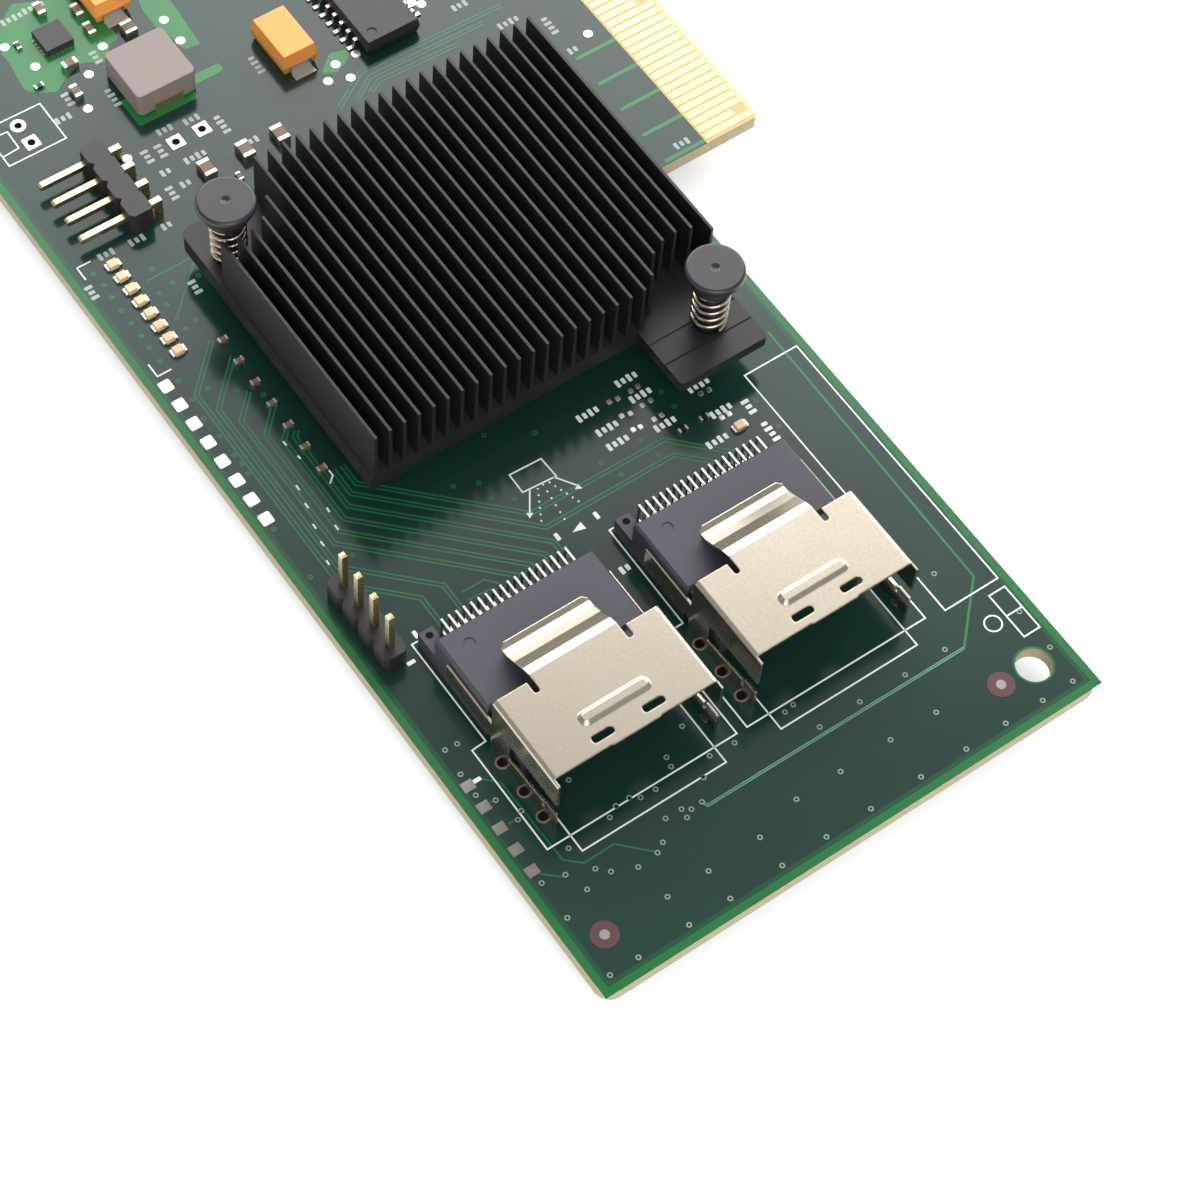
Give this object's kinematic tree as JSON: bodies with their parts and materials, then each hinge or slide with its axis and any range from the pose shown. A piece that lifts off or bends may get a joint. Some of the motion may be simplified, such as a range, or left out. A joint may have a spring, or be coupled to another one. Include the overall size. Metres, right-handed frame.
{
  "type": "raid controller card",
  "caption": "Low-profile expansion card for hard drives: green board with edge contacts, black finned heat sink on sprung pins, shielded cable ports, pin headers and a slotted bracket.",
  "frame": {"origin": "centre of the edge connector's key notch at the end of the contact tongue, midway through the board", "axes": "+X along the card to its free end with the cable ports, +Y the way the card is pushed into the slot, +Z out of the component side"},
  "size_m": [0.1799, 0.0792, 0.0187],
  "materials": {
    "board": "gloss",
    "gold_contact": "polished",
    "black_anodised_sink": "satin",
    "thermal_pad": "matte",
    "chip_black": "matte",
    "push_pin_grey": "satin",
    "spring_steel": "satin",
    "port_housing_slate": "matte",
    "port_shell_nickel": "satin",
    "tinned_lead": "satin",
    "header_black": "matte",
    "header_gold_pin": "polished",
    "ferrite": "matte",
    "tantalum_orange": "satin",
    "ceramic_tan": "matte",
    "resistor_black": "matte",
    "light_lens": "gloss",
    "bracket_steel": "satin",
    "screw_steel": "polished"
  },
  "bodies": {
    "root": {"circuit_board": "board", "edge_contacts_component_side": "gold_contact", "edge_contacts_solder_side": "gold_contact", "controller_chip": "chip_black", "thermal_pad": "thermal_pad", "heatsink": "black_anodised_sink", "push_pin_front": "push_pin_grey", "push_pin_rear": "push_pin_grey", "push_pin_spring_front": "spring_steel", "push_pin_spring_rear": "spring_steel", "port_a_housing": "port_housing_slate", "port_b_housing": "port_housing_slate", "port_a_shell": "port_shell_nickel", "port_b_shell": "port_shell_nickel", "port_a_leads": "tinned_lead", "port_b_leads": "tinned_lead", "upright_header_block": "header_black", "upright_header_pins": "header_gold_pin", "side_header_block": "header_black", "side_header_pins": "header_gold_pin", "power_inductor": "ferrite", "power_inductor_terminals": "tinned_lead", "tantalum_capacitors": "tantalum_orange", "tantalum_terminals": "tinned_lead", "memory_chip": "chip_black", "memory_chip_leads": "tinned_lead", "regulator_chip": "chip_black", "regulator_lands": "tinned_lead", "ceramic_capacitors": "ceramic_tan", "ceramic_capacitor_ends": "tinned_lead", "chip_resistors": "resistor_black", "chip_resistor_ends": "tinned_lead", "status_lights": "light_lens", "status_light_terminals": "tinned_lead", "underside_capacitors": "ceramic_tan", "underside_capacitor_ends": "tinned_lead", "bracket": "bracket_steel", "bracket_screws": "screw_steel"}
  },
  "joints": []
}
